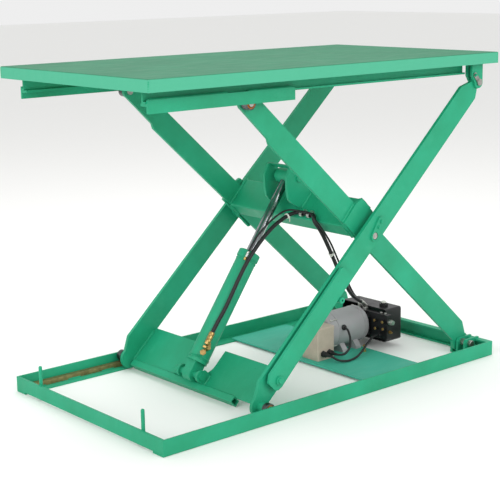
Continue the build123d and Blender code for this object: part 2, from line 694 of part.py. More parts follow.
KEEPER_WIDTH = 30
KEEPER_LENGTH = 88
with BuildPart() as centre_keepers:
    for hand in SIDES.values():
        with BuildSketch(at(outer, hand, KEEPER_FACE, KEEPER_FACE + PLATE)):
            with Locations((24, 8)):
                SlotOverall(KEEPER_LENGTH, KEEPER_WIDTH, rotation=15)
            Circle(PIN_R + 0.3, mode=Mode.SUBTRACT)
        extrude(amount=PLATE)
        for screw in ((30, 10), (50, 15)):
            with BuildSketch(at(outer, hand, KEEPER_FACE + PLATE, KEEPER_FACE + PLATE + 4)):
                with Locations(screw):
                    RegularPolygon(5.5, 6)
            extrude(amount=4)
finish(centre_keepers.part, "centre_keepers")

LOWER_ROLLER_IN = 384.5
LOWER_ROLLER_OUT = 404
COLLAR_R = 17
with BuildPart() as lower_axles:
    for hand in SIDES.values():
        with BuildSketch(at(outer, hand, OUTER_ARM_IN, LOWER_ROLLER_OUT + 1)):
            with Locations((-HALF_SPAN, 0)):
                Circle(PIN_R)
        extrude(amount=LOWER_ROLLER_OUT + 1 - OUTER_ARM_IN)
        with BuildSketch(at(outer, hand, KEEPER_FACE, LOWER_ROLLER_IN - 0.5)):
            with Locations((-HALF_SPAN, 0)):
                Circle(COLLAR_R)
        extrude(amount=LOWER_ROLLER_IN - 0.5 - KEEPER_FACE)
finish(lower_axles.part, "lower_axles")

BAR_IN = 370
BAR_THICKNESS = 9
BAR_PIVOT = (-596, 14)
BAR_REST = (-253, -17)
BAR_PIN_R = 8
with BuildPart() as bar_mounts:
    with BuildSketch(at(outer, -1, KEEPER_FACE, BAR_IN + BAR_THICKNESS + 8)):
        with Locations(BAR_PIVOT):
            Circle(BAR_PIN_R)
    extrude(amount=BAR_IN + BAR_THICKNESS + 8 - KEEPER_FACE)
    with BuildSketch(at(outer, -1, KEEPER_FACE, BAR_IN - 0.5)):
        with Locations(BAR_PIVOT):
            Rectangle(40, 34)
    extrude(amount=BAR_IN - 0.5 - KEEPER_FACE)
    with BuildSketch(at(outer, -1, BAR_IN + BAR_THICKNESS + 0.5, BAR_IN + BAR_THICKNESS + 3.5)):
        with Locations(BAR_PIVOT):
            Circle(15)
    extrude(amount=3)
    with BuildSketch(at(outer, -1, KEEPER_FACE, BAR_IN + BAR_THICKNESS + 6)):
        with Locations(BAR_REST):
            Circle(10)
            Circle(4, mode=Mode.SUBTRACT)
    extrude(amount=BAR_IN + BAR_THICKNESS + 6 - KEEPER_FACE)
finish(bar_mounts.part, "bar_mounts")

with BuildPart() as safety_bar:
    with BuildSketch(at(outer, -1, BAR_IN, BAR_IN + BAR_THICKNESS)):
        with BuildLine():
            Polyline((-629, 4), (-620, -6), (-603, -10), (-272, -5), (-170, -5), (-170, 60),
                     (-606, 60), (-629, 44), close=True)
        make_face()
        with Locations(BAR_PIVOT):
            Circle(BAR_PIN_R + PIN_FIT, mode=Mode.SUBTRACT)
    extrude(amount=BAR_THICKNESS)
    fillet(safety_bar.edges().filter_by(Axis.Y).sort_by(
        lambda e: (e.center() - outer.from_local_coords(Vector(-170, 60, 0))).length
        - abs(e.center().Y))[0], 14)
finish(safety_bar.part, "safety_bar")

# --- rollers --------------------------------------------------------------------------------
for name, hand in SIDES.items():
    for level, frame, low, high in (("lower", outer, LOWER_ROLLER_IN, LOWER_ROLLER_OUT),
                                    ("upper", inner, UPPER_ROLLER_IN, UPPER_ROLLER_OUT)):
        with BuildPart() as roller:
            with BuildSketch(at(frame, hand, low, high)):
                with Locations((-HALF_SPAN, 0)):
                    Circle(ROLLER_R)
                    Circle(PIN_R + PIN_FIT, mode=Mode.SUBTRACT)
            extrude(amount=high - low)
            rims = roller.edges().filter_by(GeomType.CIRCLE).filter_by(
                lambda e: e.radius > ROLLER_R - 1)
            chamfer(rims, 1.2)
        finish(roller.part, f"{level}_roller_{name}")

# --- hydraulic cylinder ---------------------------------------------------------------------
EYE_R = 25
FOOT_HALF = 20
GLAND_R = 38
GLAND_START = 430
PISTON_START = 395
with BuildPart() as cylinder_barrel:
    with BuildSketch(cylinder_plane(BARREL_START)):
        Circle(BARREL_R)
    extrude(amount=GLAND_START - BARREL_START)
    with BuildSketch(across(cylinder_side, FOOT_HALF)):
        Circle(EYE_R)
        with Locations((BARREL_START / 2, 0)):
            Rectangle(BARREL_START, 2 * EYE_R - 4)
    extrude(amount=2 * FOOT_HALF)
    with BuildSketch(across(cylinder_side, FOOT_HALF)):
        Circle(PIN_R + PIN_FIT)
    extrude(amount=2 * FOOT_HALF, mode=Mode.SUBTRACT)
    with BuildSketch(cylinder_plane(BARREL_START + 14)):
        Circle(BARREL_R - BARREL_WALL)
    extrude(amount=GLAND_START - BARREL_START - 14, mode=Mode.SUBTRACT)
finish(cylinder_barrel.part, "cylinder_barrel")

with BuildPart() as cylinder_gland:
    with BuildSketch(cylinder_plane(GLAND_START)):
        Circle(GLAND_R)
        Circle(ROD_R + PIN_FIT, mode=Mode.SUBTRACT)
    extrude(amount=BARREL_END - GLAND_START)
    chamfer(cylinder_gland.edges().filter_by(GeomType.CIRCLE).filter_by(
        lambda e: e.radius > GLAND_R - 1), 2)
finish(cylinder_gland.part, "cylinder_gland")

PORT_AT = 74
PORT_REACH = 12
PORT_TURN = 36             # the port's turn round the barrel, from the near side upward
cylinder_port = Plane(origin=foot_world + cylinder_dir * PORT_AT, x_dir=cylinder_dir,
                      z_dir=(0, -1, 0)).rotated((-PORT_TURN, 0, 0)).offset(BARREL_R - 2)
with BuildPart() as barrel_elbow:
    with BuildSketch(cylinder_port):
        Circle(9)
    extrude(amount=PORT_REACH)
    with BuildSketch(cylinder_port.offset(2)):
        Circle(9)
        with Locations((17, 0)):
            Rectangle(34, 14)
    extrude(amount=PORT_REACH + 3)
    with BuildSketch(cylinder_plane(0), mode=Mode.PRIVATE) as barrel_round:
        Circle(BARREL_R)
    extrude(barrel_round.sketch, amount=GLAND_START, mode=Mode.SUBTRACT)
finish(barrel_elbow.part, "barrel_elbow")

with BuildPart() as piston_rod:
    with BuildSketch(cylinder_plane(PISTON_START)):
        Circle(ROD_R)
    extrude(amount=CYLINDER_LENGTH - EYE_R + 3 - PISTON_START)
finish(piston_rod.part, "piston_rod")

with BuildPart() as piston:
    with BuildSketch(cylinder_plane(PISTON_START)):
        Circle(BARREL_R - BARREL_WALL - PIN_FIT)
        Circle(ROD_R, mode=Mode.SUBTRACT)
    extrude(amount=28)
finish(piston.part, "piston")

with BuildPart() as rod_eye:
    with BuildSketch(across(cylinder_side, EYE_HALF)):
        with Locations((CYLINDER_LENGTH, 0)):
            Circle(EYE_R)
            Circle(ROD_R, mode=Mode.SUBTRACT)
    extrude(amount=2 * EYE_HALF)
    with BuildSketch(cylinder_plane(PISTON_START), mode=Mode.PRIVATE) as rod_round:
        Circle(ROD_R)
    extrude(rod_round.sketch, amount=CYLINDER_LENGTH - EYE_R + 3 - PISTON_START,
            mode=Mode.SUBTRACT)
finish(rod_eye.part, "rod_eye")

with BuildPart() as rod_pin:
    with BuildSketch(across(cylinder_side, EYE_HALF)):
        with Locations((CYLINDER_LENGTH, 0)):
            Circle(ROD_R)
    extrude(amount=2 * EYE_HALF)
finish(rod_pin.part, "rod_pin")

# --- platform -------------------------------------------------------------------------------
with BuildPart() as deck_pan:
    with BuildSketch(Plane.XY.offset(DECK_TOP - SKIRT_DEPTH)):
        Rectangle(LENGTH, WIDTH)
    extrude(amount=SKIRT_DEPTH)
    fillet(deck_pan.edges().group_by(Axis.Z)[-1], 4)
    with BuildSketch(Plane.XY.offset(DECK_TOP - SKIRT_DEPTH)):
        Rectangle(LENGTH - 2 * DECK_SHEET, WIDTH - 2 * DECK_SHEET)
    extrude(amount=SKIRT_DEPTH - DECK_SHEET, mode=Mode.SUBTRACT)
finish(deck_pan.part, "deck_pan")

BEAM_LEFT = -716
BEAM_RIGHT = 650
BEAM_BOTTOM = 1017.3
BEAM_IN = 319
WEAR_IN = 308.5
BEAM_OUT = 336.5
for name, hand in SIDES.items():
    with BuildPart() as platform_beam:
        with BuildSketch(Plane.YZ.offset(BEAM_LEFT)):
            with Locations((hand * (BEAM_IN + PLATE / 2), (BEAM_BOTTOM + DECK_UNDER) / 2)):
                Rectangle(PLATE, DECK_UNDER - BEAM_BOTTOM)
            with Locations((hand * (BEAM_IN + BEAM_OUT) / 2, BEAM_BOTTOM + PLATE / 2),
                           (hand * (BEAM_IN + BEAM_OUT) / 2, DECK_UNDER - PLATE / 2)):
                Rectangle(BEAM_OUT - BEAM_IN, PLATE)
        extrude(amount=BEAM_RIGHT - BEAM_LEFT)
    finish(platform_beam.part, f"platform_beam_{name}")

WEAR_BOTTOM = UPPER_PIN_Z + ROLLER_R + ROLLER_GAP
UPPER_TRACK_LEFT = -712
UPPER_TRACK_RIGHT = -155
TRACK_LEG = 8
TRACK_LEG_BOTTOM = 989
TRACK_LEG_TOP = 1028
with BuildPart() as upper_tracks:
    for hand in SIDES.values():
        with BuildSketch(Plane.YZ.offset(UPPER_TRACK_LEFT)):
            with Locations((hand * (WEAR_IN + BEAM_OUT) / 2, (WEAR_BOTTOM + BEAM_BOTTOM) / 2)):
                Rectangle(BEAM_OUT - WEAR_IN, BEAM_BOTTOM - WEAR_BOTTOM)
            with Locations((hand * (BEAM_OUT + TRACK_LEG / 2),
                            (TRACK_LEG_BOTTOM + TRACK_LEG_TOP) / 2)):
                Rectangle(TRACK_LEG, TRACK_LEG_TOP - TRACK_LEG_BOTTOM)
        extrude(amount=UPPER_TRACK_RIGHT - UPPER_TRACK_LEFT)
finish(upper_tracks.part, "upper_tracks")

STIFFENER = 20
with BuildPart() as deck_stiffeners:
    for stiffener_x in (-640, -430, 80, 520):
        with BuildSketch(Plane.XZ.offset(-BEAM_IN)):
            with Locations((stiffener_x, DECK_UNDER - STIFFENER / 2)):
                Rectangle(40, STIFFENER)
                with Locations((0, 1)):
                    Rectangle(30, STIFFENER, mode=Mode.SUBTRACT)
        extrude(amount=2 * BEAM_IN)
finish(deck_stiffeners.part, "deck_stiffeners")

LUG_LEFT = 652
LUG_RIGHT = 708
LUG_R = 21
UPPER_LUGS = ((337, 345.5), (358.5, 367.5))
with BuildPart() as platform_brackets:
    for hand in SIDES.values():
        for low, high in UPPER_LUGS:
            with BuildSketch(at(side, hand, low, high)):
                with BuildLine():
                    Polyline((LUG_LEFT, DECK_UNDER), (LUG_RIGHT, DECK_UNDER),
                             (LUG_RIGHT, UPPER_PIN_Z + 12), (PIVOT_X + LUG_R - 1, UPPER_PIN_Z),
                             (PIVOT_X - LUG_R, UPPER_PIN_Z), (LUG_LEFT, UPPER_PIN_Z + 24),
                             close=True)
                make_face()
                with Locations((PIVOT_X, UPPER_PIN_Z)):
                    Circle(LUG_R)
                    Circle(PIN_R, mode=Mode.SUBTRACT)
            extrude(amount=high - low)
finish(platform_brackets.part, "platform_brackets")

UPPER_PIN_END = UPPER_LUGS[1][1] + 6
with BuildPart() as upper_hinge_pins:
    for hand in SIDES.values():
        with BuildSketch(at(side, hand, UPPER_LUGS[0][0] - 2, UPPER_PIN_END)):
            with Locations((PIVOT_X, UPPER_PIN_Z)):
                Circle(PIN_R)
        extrude(amount=UPPER_PIN_END - UPPER_LUGS[0][0] + 2)
        with BuildSketch(at(side, hand, UPPER_LUGS[1][1], UPPER_LUGS[1][1] + KEEPER)):
            with Locations((PIVOT_X - 12, UPPER_PIN_Z + 14)):
                SlotOverall(50, 16, rotation=130)
        extrude(amount=KEEPER)
finish(upper_hinge_pins.part, "upper_hinge_pins")

# --- hoses ----------------------------------------------------------------------------------
port_out = cylinder_port.from_local_coords(Vector(36, 0, PORT_REACH - 2.5))
straight_out = port_out + cylinder_dir * 70
clip_at = inner.from_local_coords(Vector(HOSE_U, CLIP_N, 0))
drain_clip = inner.from_local_coords(Vector(HOSE_U - 13, CLIP_N - 2, 0))
pressure_route = [tuple(port_out), tuple(straight_out), (-199, -42, 279), (-128, -46, 398),
                  (-66, -50, 472), (0, -52, 526), (50, -54, 550), (80, -54, 561),
                  (clip_at.X, -68, clip_at.Z), (clip_at.X, -148, clip_at.Z), (89, -164, 552),
                  (112, -174, 518), (150, -168, 462), (184, -160, 410), (226, -146, 350),
                  (282, -120, 296), (352, -82, 232), tuple(elbow_out + nose * 28),
                  tuple(elbow_out)]
pressure_hose = tube(pressure_route, HOSE_R, "pressure_hose")
finish(pressure_hose, "pressure_hose")

drain_route = [(-100, -34, 436), (-86, -36, 462), (-50, -37, 506), (0, -42, 545), (44, -49, 571),
               (72, -58, 579), (drain_clip.X, -74, drain_clip.Z),
               (drain_clip.X, -146, drain_clip.Z), (79, -172, 566), (102, -191, 528),
               (144, -186, 478), (176, -179, 430), (214, -165, 378), (262, -138, 331),
               (322, -94, 288), (384, -54, 236), (440, -16, 200), (482, 16, 184),
               (DRAIN_SPOT[0], DRAIN_SPOT[1], 176), (DRAIN_SPOT[0], DRAIN_SPOT[1], DRAIN_TOP)]
drain_hose = tube(drain_route, DRAIN_HOSE_R, "drain_hose")
finish(drain_hose, "drain_hose")
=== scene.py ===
import json
import math

import bmesh
import bpy
from mathutils import Matrix, Vector


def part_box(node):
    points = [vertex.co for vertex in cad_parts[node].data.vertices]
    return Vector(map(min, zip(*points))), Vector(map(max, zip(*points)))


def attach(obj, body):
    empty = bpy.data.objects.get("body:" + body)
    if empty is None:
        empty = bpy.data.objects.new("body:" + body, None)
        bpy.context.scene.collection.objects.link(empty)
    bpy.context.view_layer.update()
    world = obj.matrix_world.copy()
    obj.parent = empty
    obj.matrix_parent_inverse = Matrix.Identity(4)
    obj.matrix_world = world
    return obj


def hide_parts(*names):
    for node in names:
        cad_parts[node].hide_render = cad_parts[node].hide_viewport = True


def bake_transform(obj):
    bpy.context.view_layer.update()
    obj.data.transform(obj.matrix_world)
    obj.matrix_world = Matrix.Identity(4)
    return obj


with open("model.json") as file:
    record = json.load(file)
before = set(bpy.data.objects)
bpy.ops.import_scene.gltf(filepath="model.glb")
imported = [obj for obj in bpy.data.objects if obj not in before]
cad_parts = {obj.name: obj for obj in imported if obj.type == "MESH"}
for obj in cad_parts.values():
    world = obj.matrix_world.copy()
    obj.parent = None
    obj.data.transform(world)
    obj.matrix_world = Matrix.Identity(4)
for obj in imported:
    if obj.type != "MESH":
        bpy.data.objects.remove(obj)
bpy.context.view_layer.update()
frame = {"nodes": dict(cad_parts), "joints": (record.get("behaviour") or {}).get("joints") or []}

nodes = frame["nodes"]
joint_place = {joint["name"]: Vector(joint["pos_m"]) for joint in frame["joints"] if "pos_m" in joint}

# The linkage, read from the joints: low fixed pivot, crossing point, high fixed pivot, rollers.
LOW_PIVOT = joint_place["fold"]
CENTRE = joint_place["arm_cross"]
HIGH_PIVOT = joint_place["platform_level"]
LOW_ROLLER = joint_place["lower_roller_near_spin"]
FOOT_PIN = joint_place["barrel_tilt"]
BAR_PIVOT = joint_place["safety_bar_swing"]
NEAR = Vector((0, -1, 0))

along_outer = (HIGH_PIVOT - LOW_ROLLER).normalized()
along_inner = (LOW_PIVOT - CENTRE).normalized()


def side_frame(origin, along):
    """A frame whose x runs along an arm, y across it and up, and z to the near side."""
    up = NEAR.cross(along)
    return Matrix(((along.x, up.x, NEAR.x, origin.x), (along.y, up.y, NEAR.y, origin.y),
                   (along.z, up.z, NEAR.z, origin.z), (0, 0, 0, 1)))


OUTER = side_frame(CENTRE, along_outer)
INNER = side_frame(CENTRE, along_inner)
rod_joint = [joint for joint in frame["joints"] if joint["name"] == "rod_stroke"][0]
along_rod = Vector(rod_joint["axis"]).normalized()
CYLINDER = side_frame(FOOT_PIN, along_rod)


# --- materials ------------------------------------------------------------------------------
def tone(hex_code):
    """An sRGB hex colour as linear RGBA."""
    parts = [int(hex_code[i:i + 2], 16) / 255 for i in (1, 3, 5)]
    linear = [c / 12.92 if c <= 0.04045 else ((c + 0.055) / 1.055) ** 2.4 for c in parts]
    return (*linear, 1.0)


def add_node(tree, kind, inputs=None, **settings):
    """Add one shader node, set its fields, and set or link each of its inputs."""
    made = tree.nodes.new(kind)
    for field, value in settings.items():
        setattr(made, field, value)
    for name, value in (inputs or {}).items():
        socket = made.inputs[name]
        if isinstance(value, bpy.types.NodeSocket):
            tree.links.new(value, socket)
        else:
            socket.default_value = value
    return made


def start_material(name):
    """A new material with its node tree, its shader and its Object coordinates."""
    material = bpy.data.materials.new(name)
    material.use_nodes = True
    tree = material.node_tree
    shader = tree.nodes["Principled BSDF"]
    coords = add_node(tree, "ShaderNodeTexCoord").outputs["Object"]
    return material, tree, shader, coords


def noise(tree, coords, size, detail=4.0, roughness=0.55, stretch=(1, 1, 1)):
    """A noise whose features are about this many metres across."""
    place = add_node(tree, "ShaderNodeMapping", {"Vector": coords, "Scale": stretch})
    return add_node(tree, "ShaderNodeTexNoise", {
        "Vector": place.outputs["Vector"], "Scale": 1 / size, "Detail": detail,
        "Roughness": roughness}).outputs["Fac"]


def ramp(tree, factor, low, high, low_tone, high_tone):
    """A factor turned to colour between two stops."""
    made = add_node(tree, "ShaderNodeValToRGB", {"Fac": factor})
    made.color_ramp.elements[0].position = low
    made.color_ramp.elements[1].position = high
    made.color_ramp.elements[0].color = low_tone
    made.color_ramp.elements[1].color = high_tone
    return made.outputs["Color"]


def mix(tree, factor, first, second, blend="MIX"):
    """Two colours mixed by a factor."""
    made = tree.nodes.new("ShaderNodeMix")
    made.data_type = "RGBA"
    made.blend_type = blend
    for socket, value in ((made.inputs[0], factor), (made.inputs[6], first), (made.inputs[7], second)):
        if isinstance(value, bpy.types.NodeSocket):
            tree.links.new(value, socket)
        else:
            socket.default_value = value
    return made.outputs[2]


def span(tree, value, low, high, to_low, to_high):
    """A value carried from one range to another."""
    return add_node(tree, "ShaderNodeMapRange", {
        "Value": value, "From Min": low, "From Max": high, "To Min": to_low,
        "To Max": to_high}).outputs["Result"]


def bump(tree, shader, height, distance, strength=1.0, under=None):
    """Raise the surface by a height pattern."""
    inputs = {"Height": height, "Distance": distance, "Strength": strength}
    if under is not None:
        inputs["Normal"] = under
    made = add_node(tree, "ShaderNodeBump", inputs)
    tree.links.new(made.outputs["Normal"], shader.inputs["Normal"])
    return made.outputs["Normal"]


def enamel(name, body_hex, shade_hex, gloss, peel=0.00012):
    """Alkyd machine enamel sprayed on steel: a slightly dimpled gloss with dull, dusty patches."""
    material, tree, shader, coords = start_material(name)
    broad = noise(tree, coords, 0.22, 5, 0.6)
    body = ramp(tree, broad, 0.3, 0.72, tone(shade_hex), tone(body_hex))
    streaks = noise(tree, coords, 0.03, 6, 0.7, (0.35, 1, 0.35))
    dusty = mix(tree, span(tree, streaks, 0.55, 0.8, 0.0, 0.12), body, tone("#6cc4a6"))
    nicks = noise(tree, coords, 0.012, 3, 0.5)
    worn = mix(tree, span(tree, nicks, 0.74, 0.80, 0.0, 0.55), dusty, tone("#23463b"))
    tree.links.new(worn, shader.inputs["Base Color"])
    tree.links.new(span(tree, streaks, 0.3, 0.75, gloss, gloss + 0.2), shader.inputs["Roughness"])
    shader.inputs["Specular IOR Level"].default_value = 0.32
    dimples = noise(tree, coords, 0.005, 2, 0.5)
    first = bump(tree, shader, dimples, peel)
    bump(tree, shader, streaks, 0.0003, 0.6, first)
    return material


def bare_metal(name, light_hex, dark_hex, roughness, grain, metallic=1.0, stretch=(1, 1, 1)):
    """Machined or rolled metal with fine tool lines and a little tarnish."""
    material, tree, shader, coords = start_material(name)
    lines = noise(tree, coords, grain, 4, 0.6, stretch)
    tarnish = noise(tree, coords, 0.02, 4, 0.6)
    metal = ramp(tree, tarnish, 0.35, 0.75, tone(light_hex), tone(dark_hex))
    tree.links.new(metal, shader.inputs["Base Color"])
    shader.inputs["Metallic"].default_value = metallic
    tree.links.new(span(tree, tarnish, 0.3, 0.8, roughness, roughness + 0.18),
                   shader.inputs["Roughness"])
    bump(tree, shader, lines, 0.00006)
    return material


def moulded(name, light_hex, dark_hex, roughness, grain=0.0015):
    """Moulded plastic or rubber with a fine tool grain and dusty patches."""
    material, tree, shader, coords = start_material(name)
    patches = noise(tree, coords, 0.03, 4, 0.6)
    tree.links.new(ramp(tree, patches, 0.35, 0.7, tone(dark_hex), tone(light_hex)),
                   shader.inputs["Base Color"])
    tree.links.new(span(tree, patches, 0.3, 0.7, roughness, roughness + 0.15),
                   shader.inputs["Roughness"])
    bump(tree, shader, noise(tree, coords, grain, 2), 0.00008)
    return material


green = enamel("green_machine_enamel", "#20a27b", "#199068", 0.4)
plate_green = enamel("dusty_plate_enamel", "#43b199", "#3aa58b", 0.5)
# The deck enamel is darker partly because the walked surface is dull and dusty, and partly as painted shade
# on the top that faces up.
deck_green_dull_and_shaded = enamel("dull_deck_enamel_with_painted_shade", "#2a7a58", "#247050", 0.55, 0.0002)
grey = enamel("grey_motor_enamel", "#a5a2a5", "#999699", 0.38)
black_enamel = bare_metal("black_enamelled_steel", "#0b0c0e", "#17181a", 0.32, 0.004, 0.0)
bright = bare_metal("turned_steel", "#b9b7b2", "#8e8b86", 0.28, 0.0015)
zinc = bare_metal("zinc_plated_steel", "#cfd0cc", "#a7a69c", 0.3, 0.003)
chrome = bare_metal("hard_chrome", "#9fa2a4", "#7c8083", 0.12, 0.01)
brass = bare_metal("turned_brass", "#c4a468", "#94754a", 0.32, 0.002)
bronze = bare_metal("bronze_bush", "#b9702f", "#8c5222", 0.38, 0.002)
greased = bare_metal("greased_flat_bar", "#9c8a5c", "#6d5f3c", 0.35, 0.004, 0.6)
roller_steel = bare_metal("oily_roller_steel", "#6a6d6c", "#3c3f3f", 0.3, 0.003)
beige = moulded("beige_moulded_box", "#b9ab9b", "#ad9f90", 0.45)
black_plastic = moulded("black_nylon", "#1a1a1c", "#101012", 0.4)
rubber = moulded("oil_hose_rubber", "#1b1b1d", "#0e0e10", 0.5, 0.001)
white_nylon = moulded("white_nylon", "#eceae4", "#d6d4cc", 0.4)

FINISHES = {
    green: ("side_rail_near", "side_rail_far", "end_rail_left", "end_rail_right", "base_brackets",
            "rest_posts", "inner_arm_near", "inner_arm_far", "hub_plates",
            "torque_channel", "rod_ears", "outer_arm_near", "outer_arm_far", "cross_plate",
            "cylinder_clevis", "platform_beam_near", "platform_beam_far", "upper_tracks",
            "deck_stiffeners", "platform_brackets", "safety_bar", "cylinder_barrel",
            "cylinder_gland", "rod_eye", "centre_keepers", "bar_mounts", "cylinder_pin",
            "lower_axles", "rod_pin_ends"),
    plate_green: ("power_unit_plate",),
    deck_green_dull_and_shaded: ("deck_pan",),
    grey: ("motor_body", "motor_fan_cover"),
    black_enamel: ("pump_block", "oil_tank", "gear_pump", "port_plugs"),
    bright: ("lower_hinge_pins", "upper_hinge_pins", "centre_pins", "upper_axles", "rod_pin",
             "piston", "motor_shaft"),
    chrome: ("piston_rod",),
    zinc: ("hose_clips", "hose_fittings"),
    brass: ("barrel_elbow",),
    greased: ("roller_tracks",),
    roller_steel: ("lower_roller_near", "lower_roller_far", "upper_roller_near",
                   "upper_roller_far"),
    beige: ("terminal_box", "terminal_box_lid"),
    black_plastic: ("cable_glands", "filler_cap"),
    rubber: ("motor_cables", "pressure_hose", "drain_hose"),
}

# The deck's walked top is dull, and is also painted darker as painted shade on the upward-facing top; its
# folded skirt is painted in a brighter tone as painted light on the side faces.
LIT_SKIRT_TONE = tone("#48a886")
deck_tree = deck_green_dull_and_shaded.node_tree
deck_shader = deck_tree.nodes["Principled BSDF"]
shaded_top_colour = deck_shader.inputs["Base Color"].links[0].from_socket
height = add_node(deck_tree, "ShaderNodeSeparateXYZ", {
    "Vector": add_node(deck_tree, "ShaderNodeTexCoord").outputs["Object"]}).outputs["Z"]
deck_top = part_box("deck_pan")[1].z
deck_tree.links.new(mix(deck_tree, span(deck_tree, height, deck_top - 0.003, deck_top - 0.0012, 0, 1),
                        LIT_SKIRT_TONE, shaded_top_colour), deck_shader.inputs["Base Color"])

for finish, names in FINISHES.items():
    for name in names:
        nodes[name].data.materials.clear()
        nodes[name].data.materials.append(finish)


# --- ways of making -------------------------------------------------------------------------
def clear_selection():
    """Nothing stays selected before a new piece is begun."""
    if bpy.context.object and bpy.context.object.mode == "EDIT":
        bpy.ops.object.mode_set(mode="OBJECT")
    bpy.ops.object.select_all(action="DESELECT")


def settle(piece, name, body, material, place=Matrix.Identity(4)):
    """Put a finished piece in its place, with the place in its mesh, and let it ride."""
    clear_selection()
    piece.data.transform(place @ piece.matrix_world)
    piece.matrix_world = Matrix.Identity(4)
    if (place.to_3x3().determinant()) < 0:
        piece.data.flip_normals()
    piece.name = name
    piece.data.name = name
    piece.data.materials.clear()
    piece.data.materials.append(material)
    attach(piece, body)
    return piece


def smooth(piece, angle=35):
    """Smooth shading that keeps the sharp edges."""
    clear_selection()
    piece.select_set(True)
    bpy.context.view_layer.objects.active = piece
    bpy.ops.object.shade_smooth_by_angle(angle=math.radians(angle))


def bevel(piece, width, segments=2, angle=40):
    """Round the sharp edges with an applied bevel."""
    clear_selection()
    piece.select_set(True)
    bpy.context.view_layer.objects.active = piece
    rounding = piece.modifiers.new("rounding", "BEVEL")
    rounding.width = width
    rounding.segments = segments
    rounding.limit_method = "ANGLE"
    rounding.angle_limit = math.radians(angle)
    bpy.ops.object.modifier_apply(modifier="rounding")


def join(pieces):
    """Several meshes made one piece."""
    clear_selection()
    for piece in pieces:
        piece.select_set(True)
    bpy.context.view_layer.objects.active = pieces[0]
    bpy.ops.object.join()
    return pieces[0]


def turned(profile, sides=40):
    """A turned piece about local Z: (radius, height) rings from bottom to top, closed at both ends."""
    clear_selection()
    bpy.ops.mesh.primitive_circle_add(vertices=sides, radius=profile[0][0], fill_type="NGON",
                                      location=(0, 0, profile[0][1]))
    piece = bpy.context.object
    bpy.ops.object.transform_apply(location=True, rotation=False, scale=False)
    bpy.ops.object.mode_set(mode="EDIT")
    bpy.ops.mesh.select_all(action="SELECT")
    for (radius, height), (wider, higher) in zip(profile, profile[1:]):
        bpy.ops.mesh.extrude_region_move(TRANSFORM_OT_translate={"value": (0, 0, higher - height)})
        ratio = wider / radius
        bpy.ops.transform.resize(value=(ratio, ratio, 1), center_override=(0, 0, higher))
    bpy.ops.mesh.select_all(action="SELECT")
    bpy.ops.mesh.normals_make_consistent(inside=False)
    bpy.ops.object.mode_set(mode="OBJECT")
    return piece


def hexagon(across, height):
    """A chamfered hexagon head or nut about local Z."""
    radius = across / math.sqrt(3)
    profile = [(radius * 0.93, 0), (radius, height * 0.12), (radius, height * 0.85),
               (radius * 0.86, height)]
    piece = turned(profile, 6)
    return piece


def facing(origin, direction):
    """A placement whose local Z points this way."""
    turn = Vector(direction).to_track_quat("Z", "Y").to_matrix().to_4x4()
    return Matrix.Translation(Vector(origin)) @ turn


def weld_bead(name, start, end, body, leg=0.0045, material=None):
    """A stick-weld bead from start to end: a fat half-buried rope whose ripples are 4 mm apart."""
    start, end = Vector(start), Vector(end)
    length = (end - start).length
    ripples = max(3, round(length / 0.006))
    step = length / ripples
    clear_selection()
    bpy.ops.mesh.primitive_circle_add(vertices=8, radius=leg * 0.55, fill_type="NGON")
    bead = bpy.context.object
    bpy.ops.object.mode_set(mode="EDIT")
    bpy.ops.mesh.select_all(action="SELECT")
    for ripple in range(ripples):
        grow = 1 / 0.62 if ripple == 0 else 1 / 0.8
        wave = 1 + 0.08 * math.sin(ripple * 2.1)
        bpy.ops.mesh.extrude_region_move(TRANSFORM_OT_translate={"value": (0, 0, step * 0.35)})
        bpy.ops.transform.resize(value=(grow, grow, 1), center_override=(0, 0, 0))
        bpy.ops.mesh.extrude_region_move(TRANSFORM_OT_translate={"value": (0, 0, step * 0.65)})
        shrink = (0.8 if ripple < ripples - 1 else 0.62) * (wave if ripple % 2 else 1 / wave)
        bpy.ops.transform.resize(value=(shrink, shrink, 1), center_override=(0, 0, 0))
    bpy.ops.mesh.select_all(action="SELECT")
    bpy.ops.mesh.normals_make_consistent(inside=False)
    bpy.ops.object.mode_set(mode="OBJECT")
    smooth(bead, 60)
    settle(bead, name, body, material or green, facing(start, end - start))
    return bead


def beads(name, lines, body, leg=0.0045, material=None):
    """Several beads as one piece."""
    made = [weld_bead(f"{name}_{i}", a, b, body, leg, material) for i, (a, b) in enumerate(lines)]
    for bead in made:
        bead.parent = None
    piece = join(made)
    return settle(piece, name, body, material or green)


# --- hoses ----------------------------------------------------------------------------------
def smooth_route(points):
    """Points read from a round spline that the route's corners control."""
    curve = bpy.data.curves.new("route", "CURVE")
    curve.dimensions = "3D"
    curve.resolution_u = 12
    spline = curve.splines.new("NURBS")
    spline.points.add(len(points) - 1)
    for place, point in zip(spline.points, points):
        place.co = (*[value / 1000 for value in point], 1)
    spline.order_u = 3
    spline.use_endpoint_u = True
    holder = bpy.data.objects.new("route", curve)
    bpy.context.scene.collection.objects.link(holder)
    bpy.context.view_layer.update()
    line = bpy.data.meshes.new_from_object(holder)
    read = [vertex.co.copy() for vertex in line.vertices]
    bpy.data.objects.remove(holder)
    return read


